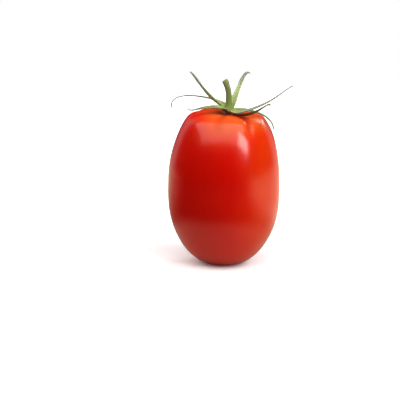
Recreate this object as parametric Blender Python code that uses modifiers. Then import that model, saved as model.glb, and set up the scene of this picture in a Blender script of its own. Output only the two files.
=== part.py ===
"""A ripe plum tomato, picked with its calyx, standing on its blossom end.

Two pieces: the fruit, and the calyx with its stalk, which grew as one and comes
off the fruit in one. Metres, +Z up. The origin is the middle of the small flat
spot that the fruit stands on, and -Y is the side that faces the viewer.
"""

import math

import bmesh
import bpy
from mathutils import Vector

MM = 0.001

# The fruit's driving sizes.
FRUIT_HEIGHT = 74.6 * MM
FRUIT_RADIUS = 27.35 * MM
EQUATOR_HEIGHT = 0.5 * FRUIT_HEIGHT

# The stem end stands this far towards the viewer's right, nearly all of it near the top.
STEM_END_LEAN = 1.9 * MM
LEAN_POWER = 5

# Upper half: a barrel whose sides draw in by this share, with a tight round rim.
SHOULDER_TAPER = 0.32
TAPER_POWER = 2.3
RIM_SHARPNESS = 25
RIM_ROUNDNESS = 5.5

# Lower half: a full, nearly elliptical end, pressed flat where it stands.
BLOSSOM_LENGTH_POWER = 2.3
BLOSSOM_WIDTH_POWER = 2.15
PRESSED_AWAY = 1.2 * MM

# The dip that the stalk stands in.
STEM_DIP_DEPTH = 2.0 * MM
STEM_DIP_RADIUS = 5.0 * MM

# Creases that run out from the dip over the shoulder and fade down the side.
CREASES = 7
FIRST_CREASE = math.radians(255)
CREASE_DEPTH = 0.8 * MM
CREASE_HALF_ANGLE = math.radians(10)
CREASE_INNER_RADIUS = 5 * MM
CREASE_FADE_HEIGHT = 9 * MM
# A crease draws the skin in by this share of its depth, and down by this one.
CREASE_INWARDS = 0.5
CREASE_DOWNWARDS = 0.7

# A grown fruit isn't quite round: shares of the radius, with their directions.
OVAL_SHARE = 0.006
OVAL_DIRECTION = math.radians(20)
THREE_SIDED_SHARE = 0.004
THREE_SIDED_DIRECTION = math.radians(75)

FRUIT_SEGMENTS = 60
SIDE_RINGS = 44
FLAT_RINGS = 3
PROFILE_SAMPLES = 400
# Crowds the samples of the upper half towards the rim, where the curve is tight.
RIM_CROWDING = 0.25

# The calyx: where its middle stands, and the collar that the sepals grow from.
CALYX_CENTRE = Vector((2.4 * MM, 0, FRUIT_HEIGHT + 0.9 * MM))
COLLAR_RADIUS = 3.6 * MM
COLLAR_THICKNESS = 1.5 * MM
COLLAR_SEGMENTS = 28
COLLAR_RINGS = 10

# The stalk's centre line, as (x, height above the collar's middle, radius): a foot
# that stands just above the dip's floor, the collar, the shaft and the leaning end.
STALK_POINTS = (
    (0.0 * MM, -2.2 * MM, 1.8 * MM),
    (0.0 * MM, -0.8 * MM, 2.0 * MM),
    (0.0 * MM, 0.7 * MM, 2.3 * MM),
    (0.1 * MM, 2.5 * MM, 1.6 * MM),
    (0.2 * MM, 5.2 * MM, 1.40 * MM),
    (0.1 * MM, 8.6 * MM, 1.35 * MM),
    (-0.4 * MM, 11.8 * MM, 1.35 * MM),
    (-1.9 * MM, 14.0 * MM, 1.45 * MM),
)
STALK_STEPS = 3
STALK_WELD = 0.02 * MM

# Every sepal is a blade that starts inside the collar, at this radius. It swells until
# about a third of its length and is then drawn out to a thread, soon or late.
SEPAL_THICKNESS = 0.65 * MM
SEPAL_ROOT_RADIUS = 1.4 * MM
SEPAL_STEPS = 22
SEPAL_ROOT_SHARE = 0.80
SEPAL_SWELL_END = 0.36
SEPAL_TIP_WIDTH = 0.7 * MM
# Both edges rise over the middle by this share of the blade's width.
SEPAL_KEEL_SHARE = 0.16
# The hook is all in the last stretch, and the roll is complete by half way.
HOOK_POWER = 10
ROLL_END = 0.5

# The sepals, round the collar from the viewer's right: where each grows from, how
# steeply it sets out, how much it arches on the way and hooks at its tip, how much it
# waves up and down, how far it sweeps sideways and rolls about its own length (all
# degrees), then its length, its width and the power that it narrows by.
SEPALS = {
    "right": (-4, 6, -39, -80, 0, -54, 8, 26.0 * MM, 3.2 * MM, 1.2),
    "back_right": (57, 54, 4, -127, 0, -14, 12, 23.0 * MM, 4.4 * MM, 0.65),
    "back": (106, 16, -20, -145, 0, 106, 0, 38.5 * MM, 4.0 * MM, 1.5),
    "left": (164, 31, 32, -30, 0, -1, 55, 25.5 * MM, 3.4 * MM, 0.5),
    "front_left": (215, 24, -51, 70, 0, -31, -22, 20.7 * MM, 4.8 * MM, 1.2),
    "front": (262, 2, 18.5, -64, -11, 174, -20, 31.8 * MM, 3.2 * MM, 0.3),
    "front_right": (287, -7.4, 65, -49, 4.7, 103, 29.5, 41.2 * MM, 5.6 * MM, 2.0),
}

FRUIT_RED = (0.60, 0.020, 0.008)
CALYX_GREEN = (0.16, 0.22, 0.055)


def clear_scene():
    for obj in list(bpy.data.objects):
        bpy.data.objects.remove(obj, do_unlink=True)


def new_collection(name, hidden=False):
    collection = bpy.data.collections.new(name)
    collection.hide_render = hidden
    bpy.context.scene.collection.children.link(collection)
    return collection


def plain_material(name, colour, roughness):
    material = bpy.data.materials.new(name)
    material.use_nodes = True
    shader = material.node_tree.nodes["Principled BSDF"]
    shader.inputs["Base Color"].default_value = (*colour, 1)
    shader.inputs["Roughness"].default_value = roughness
    shader.inputs["Metallic"].default_value = 0.0
    return material


def add_object(name, mesh, collection, material):
    obj = bpy.data.objects.new(name, mesh)
    obj.data.materials.append(material)
    collection.objects.link(obj)
    return obj


def upper_radius(share):
    """Radius at this share of the way from the equator up to the rim's level."""
    side = 1 - SHOULDER_TAPER * share**TAPER_POWER
    rim = max(1 - share**RIM_SHARPNESS, 0) ** (1 / RIM_ROUNDNESS)
    return FRUIT_RADIUS * side * rim


def lower_radius(share):
    """Radius at this share of the way from the equator down to the blossom end."""
    inside = max(1 - share**BLOSSOM_LENGTH_POWER, 0)
    return FRUIT_RADIUS * inside ** (1 / BLOSSOM_WIDTH_POWER)


def side_curve():
    """Points (radius, height) from the stem end's middle down to the flat spot."""
    points = []
    for i in range(PROFILE_SAMPLES + 1):
        share = math.sin(math.pi / 2 * (1 - i / PROFILE_SAMPLES)) ** RIM_CROWDING
        radius = upper_radius(share)
        height = EQUATOR_HEIGHT + (FRUIT_HEIGHT - EQUATOR_HEIGHT) * share
        height -= STEM_DIP_DEPTH * math.exp(-((radius / STEM_DIP_RADIUS) ** 2))
        points.append((radius, height))
    unpressed = EQUATOR_HEIGHT + PRESSED_AWAY
    for i in range(1, PROFILE_SAMPLES + 1):
        share = i / PROFILE_SAMPLES * EQUATOR_HEIGHT / unpressed
        points.append((lower_radius(share), EQUATOR_HEIGHT - unpressed * share))
    return points


def fruit_rings():
    """The rings (radius, height) of the whole fruit, the flat spot's last."""
    rings = evenly_spaced(side_curve(), SIDE_RINGS)
    edge_radius, _ = rings[-1]
    for i in range(1, FLAT_RINGS + 1):
        rings.append((edge_radius * (1 - i / FLAT_RINGS), 0.0))
    return rings


def evenly_spaced(points, count):
    """The curve as this many equal steps along its length, both ends included."""
    lengths = [0.0]
    for a, b in zip(points, points[1:]):
        lengths.append(lengths[-1] + math.dist(a, b))
    spaced, k = [], 0
    for i in range(count + 1):
        want = lengths[-1] * i / count
        while k < len(points) - 2 and lengths[k + 1] < want:
            k += 1
        part = (want - lengths[k]) / max(lengths[k + 1] - lengths[k], 1e-12)
        part = min(max(part, 0.0), 1.0)
        spaced.append(
            tuple(a + (b - a) * part for a, b in zip(points[k], points[k + 1]))
        )
    return spaced


def crease_depth(angle, radius, height):
    """How far the skin is drawn in here by the nearest crease."""
    spacing = 2 * math.pi / CREASES
    off = (angle - FIRST_CREASE + spacing / 2) % spacing - spacing / 2
    across = math.exp(-((off / CREASE_HALF_ANGLE) ** 2))
    outwards = 1 - math.exp(-((radius / CREASE_INNER_RADIUS) ** 2))
    below_rim = max(FRUIT_HEIGHT - height, 0) / CREASE_FADE_HEIGHT
    return CREASE_DEPTH * across * outwards * math.exp(-(below_rim**2))


def fruit_point(angle, radius, height):
    oval = OVAL_SHARE * math.cos(2 * (angle - OVAL_DIRECTION))
    three = THREE_SIDED_SHARE * math.cos(3 * (angle - THREE_SIDED_DIRECTION))
    drawn_in = 0.0
    if height > EQUATOR_HEIGHT:
        drawn_in = crease_depth(angle, radius, height)
    around = radius * (1 + oval + three)
    if radius > 0:
        around -= CREASE_INWARDS * drawn_in
    lean = STEM_END_LEAN * (height / FRUIT_HEIGHT) ** LEAN_POWER
    return Vector(
        (
            around * math.cos(angle) + lean,
            around * math.sin(angle),
            height - CREASE_DOWNWARDS * drawn_in,
        )
    )


def make_fruit(collection, material):
    """A UV sphere whose rings are moved out to the fruit's own curve."""
    rings = fruit_rings()
    last = len(rings) - 1
    body = bmesh.new()
    bmesh.ops.create_uvsphere(
        body, u_segments=FRUIT_SEGMENTS, v_segments=last, radius=1
    )
    for vertex in body.verts:
        polar = math.acos(max(-1.0, min(1.0, vertex.co.z)))
        radius, height = rings[round(polar / math.pi * last)]
        angle = math.atan2(vertex.co.y, vertex.co.x)
        vertex.co = fruit_point(angle, radius, height)
    mesh = bpy.data.meshes.new("fruit")
    body.to_mesh(mesh)
    body.free()
    mesh.shade_smooth()
    return add_object("fruit", mesh, collection, material)


def make_collar(collection, material):
    """The low round cushion in which stalk and sepals meet."""
    body = bmesh.new()
    bmesh.ops.create_uvsphere(
        body, u_segments=COLLAR_SEGMENTS, v_segments=COLLAR_RINGS, radius=COLLAR_RADIUS
    )
    for vertex in body.verts:
        vertex.co.z *= 0.5 * COLLAR_THICKNESS / COLLAR_RADIUS
        vertex.co += CALYX_CENTRE
    mesh = bpy.data.meshes.new("calyx")
    body.to_mesh(mesh)
    body.free()
    return add_object("calyx", mesh, collection, material)


def make_stalk(collection, material):
    """A bevelled curve through the stalk's points, made a closed mesh."""
    curve = bpy.data.curves.new("stalk_line", "CURVE")
    curve.dimensions = "3D"
    curve.bevel_depth = 1.0
    curve.bevel_resolution = 4
    curve.use_fill_caps = True
    curve.resolution_u = STALK_STEPS
    spline = curve.splines.new("BEZIER")
    spline.bezier_points.add(len(STALK_POINTS) - 1)
    for point, (x, height, radius) in zip(spline.bezier_points, STALK_POINTS):
        point.co = CALYX_CENTRE + Vector((x, 0, height))
        point.radius = radius
        point.handle_left_type = "AUTO"
        point.handle_right_type = "AUTO"
    line = bpy.data.objects.new("stalk_line", curve)
    collection.objects.link(line)
    bpy.context.view_layer.update()
    graph = bpy.context.evaluated_depsgraph_get()
    mesh = bpy.data.meshes.new_from_object(line.evaluated_get(graph))
    bpy.data.objects.remove(line)
    body = bmesh.new()
    body.from_mesh(mesh)
    bmesh.ops.remove_doubles(body, verts=body.verts, dist=STALK_WELD)
    body.to_mesh(mesh)
    body.free()
    return add_object("stalk", mesh, collection, material)


def sepal_width(share, width, taper):
    """A lance shape: broad where it leaves the collar, drawn out to a thin tip."""
    swelling = math.sin(math.pi * min(share / SEPAL_SWELL_END, 1.0))
    swell = SEPAL_ROOT_SHARE + (1 - SEPAL_ROOT_SHARE) * swelling
    narrowing = max(1 - share, 0.0) ** taper
    return SEPAL_TIP_WIDTH + (width - SEPAL_TIP_WIDTH) * swell * narrowing


def sepal_frames(azimuth, rise, arch, hook, wave, sweep, roll, length):
    """Places along the sepal, each with its sideways and its upward direction."""
    turn = math.radians(azimuth)
    place = CALYX_CENTRE + SEPAL_ROOT_RADIUS * Vector((math.cos(turn), math.sin(turn), 0))
    frames = []
    for i in range(SEPAL_STEPS + 1):
        share = i / SEPAL_STEPS
        turned = rise + arch * share + hook * share**HOOK_POWER
        pitch = math.radians(turned + wave * math.sin(2 * math.pi * share))
        yaw = math.radians(azimuth + sweep * share)
        level = Vector((math.cos(yaw), math.sin(yaw), 0))
        ahead = math.cos(pitch) * level + Vector((0, 0, math.sin(pitch)))
        side = Vector((-math.sin(yaw), math.cos(yaw), 0))
        up = ahead.cross(side)
        rolled = math.sin(math.pi / 2 * min(share / ROLL_END, 1.0))
        lean = math.radians(roll) * rolled
        turned_side = side * math.cos(lean) + up * math.sin(lean)
        frames.append((place.copy(), turned_side, ahead.cross(turned_side)))
        place += ahead * length / SEPAL_STEPS
    return frames


def make_sepal(name, shape, collection, material):
    """A grid bent along the sepal's line, with a shallow keel, then given thickness."""
    *path, length, width, taper = shape
    frames = sepal_frames(*path, length)
    blade = bmesh.new()
    bmesh.ops.create_grid(blade, x_segments=SEPAL_STEPS, y_segments=2, size=1)
    for vertex in blade.verts:
        step = round((vertex.co.x + 1) / 2 * SEPAL_STEPS)
        place, side, up = frames[step]
        wide = sepal_width(step / SEPAL_STEPS, width, taper)
        across = 0.5 * wide * round(vertex.co.y)
        vertex.co = place + side * across + up * SEPAL_KEEL_SHARE * abs(across) * 2
    bmesh.ops.triangulate(blade, faces=blade.faces)
    mesh = bpy.data.meshes.new(name)
    blade.to_mesh(mesh)
    blade.free()
    sepal = add_object(name, mesh, collection, material)
    thicken = sepal.modifiers.new("thickness", "SOLIDIFY")
    thicken.thickness = SEPAL_THICKNESS
    thicken.offset = 0.0
    return sepal


def fuse(base, grown_on):
    """One Boolean union joins all that grew together; the loose shapes then go."""
    bpy.context.view_layer.objects.active = base
    union = base.modifiers.new("fuse", "BOOLEAN")
    union.operation = "UNION"
    union.solver = "EXACT"
    union.operand_type = "COLLECTION"
    union.collection = grown_on
    bpy.ops.object.modifier_apply(modifier=union.name)
    for obj in list(grown_on.objects):
        bpy.data.objects.remove(obj, do_unlink=True)
    bpy.data.collections.remove(grown_on)


def make_calyx(collection, material):
    grown_on = new_collection("grown on the collar")
    calyx = make_collar(collection, material)
    make_stalk(grown_on, material)
    for name, shape in SEPALS.items():
        make_sepal(f"sepal_{name}", shape, grown_on, material)
    fuse(calyx, grown_on)
    calyx.data.shade_smooth()
    calyx.data.set_sharp_from_angle(angle=math.radians(50))
    return calyx


def main():
    clear_scene()
    tomato = new_collection("plum tomato")
    make_fruit(tomato, plain_material("tomato skin", FRUIT_RED, 0.22))
    make_calyx(tomato, plain_material("tomato calyx", CALYX_GREEN, 0.6))


main()
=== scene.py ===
# %% [markdown]
# A ripe plum tomato stands on its blossom end, with its calyx and a short stalk on top.
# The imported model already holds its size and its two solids. This lesson dresses them:
# it models a fine skin, seven sepals, the collar, the stalk and its hairs, and gives
# each its finish.

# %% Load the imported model
import math
import random

import bmesh
import bpy
from mathutils import Matrix, Vector


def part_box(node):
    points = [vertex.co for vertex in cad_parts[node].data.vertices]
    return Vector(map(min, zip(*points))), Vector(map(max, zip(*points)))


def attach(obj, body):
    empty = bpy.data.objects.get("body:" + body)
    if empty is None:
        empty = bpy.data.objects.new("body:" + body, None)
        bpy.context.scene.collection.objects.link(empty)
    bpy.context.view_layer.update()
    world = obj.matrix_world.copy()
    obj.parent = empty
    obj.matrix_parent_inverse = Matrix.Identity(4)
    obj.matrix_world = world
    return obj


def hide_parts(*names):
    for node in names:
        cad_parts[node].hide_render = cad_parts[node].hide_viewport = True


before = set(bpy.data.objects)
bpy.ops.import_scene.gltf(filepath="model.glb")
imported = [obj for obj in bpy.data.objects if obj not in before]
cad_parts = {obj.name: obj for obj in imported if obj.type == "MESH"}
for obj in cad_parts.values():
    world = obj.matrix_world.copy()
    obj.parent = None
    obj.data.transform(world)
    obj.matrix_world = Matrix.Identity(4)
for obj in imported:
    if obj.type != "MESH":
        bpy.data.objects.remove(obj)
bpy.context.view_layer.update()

MM = 0.001
fruit_low, fruit_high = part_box("fruit")
calyx_low, calyx_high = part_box("calyx")
print("fruit", [round(v / MM, 1) for v in fruit_high - fruit_low], "mm")
print("calyx", [round(v / MM, 1) for v in calyx_high - calyx_low], "mm")

# %% [markdown]
# The camera comes first, because each piece is judged through it. It stands where the
# photographer stood: level with the fruit's side, looking down at 13 degrees through a
# long lens, which keeps the barrel's sides from bulging towards the viewer.

# %% Stand the camera
CAMERA_LENS = 150
SENSOR_WIDTH = 36
CAMERA_PLACE = Vector((-11.49 * MM, -788.96 * MM, 213.23 * MM))
LOOK_DOWN = math.radians(13)
CAMERA_CONTRAST = 0.87

lens = bpy.data.cameras.new("camera")
lens.lens = CAMERA_LENS
lens.sensor_width = SENSOR_WIDTH
camera = bpy.data.objects.new("camera", lens)
camera.location = CAMERA_PLACE
camera.rotation_euler = (math.pi / 2 - LOOK_DOWN, 0, 0)
bpy.context.scene.collection.objects.link(camera)
bpy.context.scene.camera = camera
view = bpy.context.scene.view_settings
view.view_transform = "Standard"
view.gamma = CAMERA_CONTRAST
print("camera", round(CAMERA_PLACE.length, 3), "m from the fruit's foot")

# %% [markdown]
# Operators act on whatever is selected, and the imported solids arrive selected. So each
# piece starts by letting go of everything. These helpers do that, and pick vertices of
# the piece in hand by a test on their place.

# %% Helpers for modelling by hand


def let_go():
    if bpy.context.object and bpy.context.object.mode == "EDIT":
        bpy.ops.object.mode_set(mode="OBJECT")
    bpy.ops.object.select_all(action="DESELECT")


def take(piece):
    let_go()
    piece.select_set(True)
    bpy.context.view_layer.objects.active = piece


def name_new(name):
    piece = bpy.context.object
    piece.name = name
    piece.data.name = name
    return piece


def pick(piece, chosen):
    """In edit mode, selects the vertices for which chosen(vertex) is true."""
    mesh = bmesh.from_edit_mesh(piece.data)
    for vertex in mesh.verts:
        vertex.select = chosen(vertex)
    mesh.select_flush_mode()
    bmesh.update_edit_mesh(piece.data)


def weigh(piece, name, weight):
    """A vertex group whose weights come from weight(place)."""
    group = piece.vertex_groups.new(name=name)
    for vertex in piece.data.vertices:
        group.add([vertex.index], min(max(weight(vertex.co), 0.0), 1.0), "REPLACE")
    return group.name


def add_modifier(piece, kind, **settings):
    modifier = piece.modifiers.new(kind.lower(), kind)
    for key, value in settings.items():
        setattr(modifier, key, value)
    return modifier


def apply_all(piece):
    take(piece)
    for modifier in list(piece.modifiers):
        bpy.ops.object.modifier_apply(modifier=modifier.name)


def finish_piece(piece, node):
    """Smooth shading, and the word on what the piece stands for."""
    take(piece)
    bpy.ops.object.transform_apply(location=True, rotation=True, scale=True)
    bpy.ops.object.shade_smooth()
    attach(piece, "root")
    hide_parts(node)
    piece.data.calc_loop_triangles()
    print(piece.name, len(piece.data.loop_triangles), "triangles")


# %% [markdown]
# The fruit's outline is a barrel: its sides draw in evenly towards the stem end and turn
# in over a tight shoulder, while the blossom end is a full, nearly elliptical cap. Two
# rounded-power curves give both halves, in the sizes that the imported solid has.

# %% The fruit's outline
FRUIT_HEIGHT = 74.6 * MM
FRUIT_RADIUS = 27.35 * MM
EQUATOR_HEIGHT = 0.5 * FRUIT_HEIGHT
STEM_END_LEAN = 1.9 * MM
LEAN_POWER = 5
SHOULDER_TAPER = 0.32
TAPER_POWER = 2.3
RIM_SHARPNESS = 25
RIM_ROUNDNESS = 5.5
BLOSSOM_LENGTH_POWER = 2.3
BLOSSOM_WIDTH_POWER = 2.15
PRESSED_AWAY = 1.2 * MM
FLAT_EDGE_SOFTNESS = 0.3 * MM
STEM_DIP_DEPTH = 2.0 * MM
STEM_DIP_RADIUS = 5.0 * MM
OUTLINE_SAMPLES = 1200
RIM_CROWDING = 0.25


def upper_radius(share):
    side = 1 - SHOULDER_TAPER * share**TAPER_POWER
    return FRUIT_RADIUS * side * max(1 - share**RIM_SHARPNESS, 0) ** (1 / RIM_ROUNDNESS)


def lower_radius(share):
    inside = max(1 - share**BLOSSOM_LENGTH_POWER, 0)
    return FRUIT_RADIUS * inside ** (1 / BLOSSOM_WIDTH_POWER)


def outline():
    """Points (radius, height) from the middle of the stem dip to the blossom end."""
    points = []
    for i in range(OUTLINE_SAMPLES + 1):
        share = math.sin(math.pi / 2 * (1 - i / OUTLINE_SAMPLES)) ** RIM_CROWDING
        radius = upper_radius(share)
        height = EQUATOR_HEIGHT + (FRUIT_HEIGHT - EQUATOR_HEIGHT) * share
        height -= STEM_DIP_DEPTH * math.exp(-((radius / STEM_DIP_RADIUS) ** 2))
        points.append((radius, height))
    for i in range(1, OUTLINE_SAMPLES + 1):
        share = math.sin(math.pi / 2 * i / OUTLINE_SAMPLES)
        height = EQUATOR_HEIGHT - (EQUATOR_HEIGHT + PRESSED_AWAY) * share
        pressed = (height + math.hypot(height, FLAT_EDGE_SOFTNESS)) / 2
        points.append((lower_radius(share), pressed))
    return points


def even_steps(points, count):
    """The same line as count steps of one length."""
    along = [0.0]
    for a, b in zip(points, points[1:]):
        along.append(along[-1] + math.dist(a, b))
    steps, k = [], 0
    for i in range(count + 1):
        want = along[-1] * i / count
        while k < len(points) - 2 and along[k + 1] < want:
            k += 1
        share = min(max((want - along[k]) / max(along[k + 1] - along[k], 1e-12), 0), 1)
        steps.append(tuple(a + (b - a) * share for a, b in zip(points[k], points[k + 1])))
    return steps


print("widest", round(2 * FRUIT_RADIUS / MM, 1), "mm, tall", round(FRUIT_HEIGHT / MM, 1), "mm")

# %% [markdown]
# The skin could be spun from a drawn outline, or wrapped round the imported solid. Here a
# UV sphere is added at the fruit's middle, and each of its rings is resized and moved to
# the outline, because that keeps even rows of quads, on which gloss runs without ripples.

# %% Shape a sphere into the fruit
SKIN_SEGMENTS = 200
SKIN_RINGS = 150

let_go()
bpy.ops.mesh.primitive_uv_sphere_add(
    segments=SKIN_SEGMENTS,
    ring_count=SKIN_RINGS,
    radius=FRUIT_RADIUS,
    location=(0, 0, EQUATOR_HEIGHT),
)
skin = name_new("fruit_skin")
bpy.ops.object.transform_apply(location=True)
bpy.ops.object.mode_set(mode="EDIT")
bpy.ops.mesh.select_all(action="DESELECT")
mesh = bmesh.from_edit_mesh(skin.data)
rings = [[] for _ in range(SKIN_RINGS + 1)]
for vertex in mesh.verts:
    across = math.hypot(vertex.co.x, vertex.co.y)
    polar = math.atan2(across, vertex.co.z - EQUATOR_HEIGHT)
    rings[round(polar / math.pi * SKIN_RINGS)].append(vertex)

for ring, (radius, height) in zip(rings, even_steps(outline(), SKIN_RINGS)):
    ring_radius = math.hypot(ring[0].co.x, ring[0].co.y)
    rise = height - ring[0].co.z
    lean = STEM_END_LEAN * (height / FRUIT_HEIGHT) ** LEAN_POWER
    for vertex in ring:
        vertex.select = True
    mesh.select_flush_mode()
    if len(ring) > 1:
        growth = radius / ring_radius
        bpy.ops.transform.resize(value=(growth, growth, 1))
    bpy.ops.transform.translate(value=(lean, 0, rise))
    for vertex in ring:
        vertex.select = False
    mesh.select_flush_mode()
bpy.ops.object.mode_set(mode="OBJECT")
print("skin", [round(v / MM, 1) for v in skin.dimensions], "mm")

# %% [markdown]
# Where the fruit's chambers meet, creases run out from the stem over the shoulder and
# fade down the side. They could be carved with a brush. Here they are painted as one
# vertex group and sunk with a Displace modifier, so that each one's depth is a number.
# Grown fruit is uneven, so no two creases are alike.

# %% Sink the creases
# (direction [degrees], depth, half angle [degrees])
CREASES = (
    (255, 0.6 * MM, 9),
    (300, 1.0 * MM, 6),
    (358, 0.6 * MM, 12),
    (49, 0.7 * MM, 10),
    (101, 0.6 * MM, 11),
    (152, 0.8 * MM, 9),
    (204, 0.35 * MM, 12),
)
DEEPEST = max(depth for _, depth, _ in CREASES)
CREASE_INNER_RADIUS = 7 * MM
CREASE_FADE_HEIGHT = 6.5 * MM

stem_axis = Vector((STEM_END_LEAN, 0, 0))


def off_direction(place, direction):
    """Degrees between the way to this place and a direction, seen from above."""
    out = place - stem_axis
    angle = math.degrees(math.atan2(out.y, out.x))
    return (angle - direction + 180) % 360 - 180


def crease_weight(place):
    if place.z < EQUATOR_HEIGHT:
        return 0.0
    weight = 0.0
    for direction, depth, half_angle in CREASES:
        off = off_direction(place, direction) / half_angle
        weight = max(weight, depth / DEEPEST * math.exp(-(off**2)))
    radius = math.hypot(place.x - stem_axis.x, place.y)
    outwards = 1 - math.exp(-((radius / CREASE_INNER_RADIUS) ** 2))
    below_rim = (FRUIT_HEIGHT - place.z) / CREASE_FADE_HEIGHT
    return weight * outwards * math.exp(-(below_rim**2))


group = weigh(skin, "crease", crease_weight)
add_modifier(skin, "DISPLACE", vertex_group=group, strength=-DEEPEST, mid_level=0.0)
print(len(CREASES), "creases, the deepest", round(DEEPEST / MM, 1), "mm")

# %% [markdown]
# The shoulders aren't level: the right one is a little low and the left one a little
# high, and both are painted and moved as the creases are. A slow cloud texture makes
# the sides wander, but not the foot, so that the fruit still stands flat. The creases'
# weights are kept as an attribute, which the skin's colour and gloss read later.

# %% Let the fruit grow unevenly
# (direction [degrees], lift, height that it is strongest at, reach up and down)
SHOULDERS = {
    "low_shoulder": (0, -1.0 * MM, 72 * MM, 6 * MM),
    "high_shoulder": (160, 0.45 * MM, 74 * MM, 2.5 * MM),
}
UNEVEN_SIZE = 24 * MM
UNEVEN_DEPTH = 0.45 * MM
UNEVEN_TOP = 1.1
EVEN_FOOT_HEIGHT = 12 * MM


def shoulder_weight(place, direction, height, reach):
    facing = max(math.cos(math.radians(off_direction(place, direction))), 0)
    away_from_axis = min(math.hypot(place.x - stem_axis.x, place.y) / STEM_DIP_RADIUS, 1)
    level = math.exp(-(((place.z - height) / reach) ** 2))
    return facing**2 * level * away_from_axis**2


for name, (direction, lift, height, reach) in SHOULDERS.items():
    group = weigh(skin, name, lambda place: shoulder_weight(place, direction, height, reach))
    add_modifier(skin, "DISPLACE", vertex_group=group, strength=lift, mid_level=0.0)
clouds = bpy.data.textures.new("slow_unevenness", "CLOUDS")
clouds.noise_scale = UNEVEN_SIZE
clouds.noise_depth = 0
away_from_foot = weigh(skin, "uneven", lambda place: place.z / EVEN_FOOT_HEIGHT)
add_modifier(
    skin,
    "DISPLACE",
    texture=clouds,
    texture_coords="LOCAL",
    vertex_group=away_from_foot,
    strength=UNEVEN_DEPTH,
    mid_level=UNEVEN_TOP,
)
apply_all(skin)
sunk = skin.data.attributes.new("in_crease", "FLOAT", "POINT")
for vertex in skin.data.vertices:
    painted = [g.weight for g in vertex.groups if g.group == 0]
    sunk.data[vertex.index].value = painted[0] if painted else 0.0
skin.vertex_groups.clear()
finish_piece(skin, "fruit")

# %% [markdown]
# A sepal is a lance-shaped green leaf. All seven start from one even strap, modelled once
# from a grid: its margins are lifted and its middle is sunk, which leaves the shallow keel
# and the midrib's groove that keep a real sepal stiff.

# %% Model one even strap
STRAP_ROWS = 48
STRAP_COLUMNS = 8
KEEL_LIFT = 0.16
KEEL_POWER = 1.3
GROOVE_DEPTH = 0.03

let_go()
bpy.ops.mesh.primitive_grid_add(
    x_subdivisions=STRAP_ROWS, y_subdivisions=STRAP_COLUMNS, size=1, location=(0.5, 0, 0)
)
strap = name_new("strap")
bpy.ops.object.transform_apply(location=True)
bpy.ops.object.mode_set(mode="EDIT")
for column in range(STRAP_COLUMNS // 2 + 1):
    level = column / STRAP_COLUMNS
    lift = KEEL_LIFT * (2 * level) ** KEEL_POWER if column else -GROOVE_DEPTH
    pick(strap, lambda v: abs(abs(v.co.y) - level) < 0.01)
    bpy.ops.transform.translate(value=(0, 0, lift))
bpy.ops.object.mode_set(mode="OBJECT")
print("strap", len(strap.data.polygons), "faces")

# %% [markdown]
# Each sepal grew its own way: some stand up, some lie on the shoulder, and their dry tips
# hook. A curve is walked step by step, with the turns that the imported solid's sepals
# have: a rise at the root, an arch and a wave along the way, a hook at the tip, and a
# sweep to one side. The Curve modifier will bend a copy of the strap along it.

# %% The sepals' lines
CALYX_CENTRE = Vector((2.4 * MM, 0, FRUIT_HEIGHT + 0.9 * MM))
ROOT_RADIUS = 1.4 * MM
HOOK_POWER = 10
ROLL_END = 0.5
LINE_STEPS = 66
STEEPEST = math.radians(86)
# (azimuth, rise, arch, hook, wave, sweep, roll [degrees], length, width, taper)
SEPALS = {
    "right": (-4, 6, -39, -80, 0, -54, 8, 26.0 * MM, 3.2 * MM, 1.2),
    "back_right": (57, 54, 4, -127, 0, -14, 12, 23.0 * MM, 4.4 * MM, 0.65),
    "back": (106, 16, -20, -145, 0, 106, 0, 38.5 * MM, 4.0 * MM, 1.5),
    "left": (164, 31, 32, -30, 0, -1, 55, 25.5 * MM, 3.4 * MM, 0.5),
    "front_left": (215, 24, -51, 70, 0, -31, -22, 20.7 * MM, 4.8 * MM, 1.2),
    "front": (262, 2, 18.5, -64, -11, 174, -45, 31.8 * MM, 2.5 * MM, 0.3),
    "front_right": (287, -7.4, 65, -49, 4.7, 103, 29.5, 40.6 * MM, 5.6 * MM, 2.0),
}


def sepal_line(azimuth, rise, arch, hook, wave, sweep, roll, length):
    """Points and rolls along the sepal's middle."""
    start = math.radians(azimuth)
    place = CALYX_CENTRE + ROOT_RADIUS * Vector((math.cos(start), math.sin(start), 0))
    points = []
    for i in range(LINE_STEPS + 1):
        share = i / LINE_STEPS
        turned = rise + arch * share + hook * share**HOOK_POWER
        pitch = math.radians(turned + wave * math.sin(2 * math.pi * share))
        pitch = min(max(pitch, -STEEPEST), STEEPEST)
        yaw = math.radians(azimuth + sweep * share)
        rolled = math.sin(math.pi / 2 * min(share / ROLL_END, 1))
        points.append((place.copy(), math.radians(roll) * rolled))
        level = Vector((math.cos(yaw), math.sin(yaw), 0))
        ahead = math.cos(pitch) * level + Vector((0, 0, math.sin(pitch)))
        place += ahead * length / LINE_STEPS
    return points


def draw_line(name, points):
    curve = bpy.data.curves.new(name, "CURVE")
    curve.dimensions = "3D"
    curve.twist_mode = "Z_UP"
    spline = curve.splines.new("POLY")
    spline.points.add(len(points) - 1)
    for point, (place, tilt) in zip(spline.points, points):
        point.co = (*place, 1)
        point.tilt = tilt
    line = bpy.data.objects.new(name, curve)
    bpy.context.scene.collection.objects.link(line)
    return line


# %% [markdown]
# Seen flat, a sepal is a lance. It swells a little past its root and runs out to a dry
# thread, soon or late.

# %% A sepal's width
ROOT_SHARE = 0.80
SWELL_END = 0.36
TIP_WIDTH = 0.65 * MM


def lance(share, width, taper):
    swelling = math.sin(math.pi * min(share / SWELL_END, 1))
    swell = ROOT_SHARE + (1 - ROOT_SHARE) * swelling
    return TIP_WIDTH + (width - TIP_WIDTH) * swell * max(1 - share, 0) ** taper


for name, (*_, width, taper) in SEPALS.items():
    print(name, round(lance(SWELL_END / 2, width, taper) / MM, 1), "mm wide")

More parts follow.
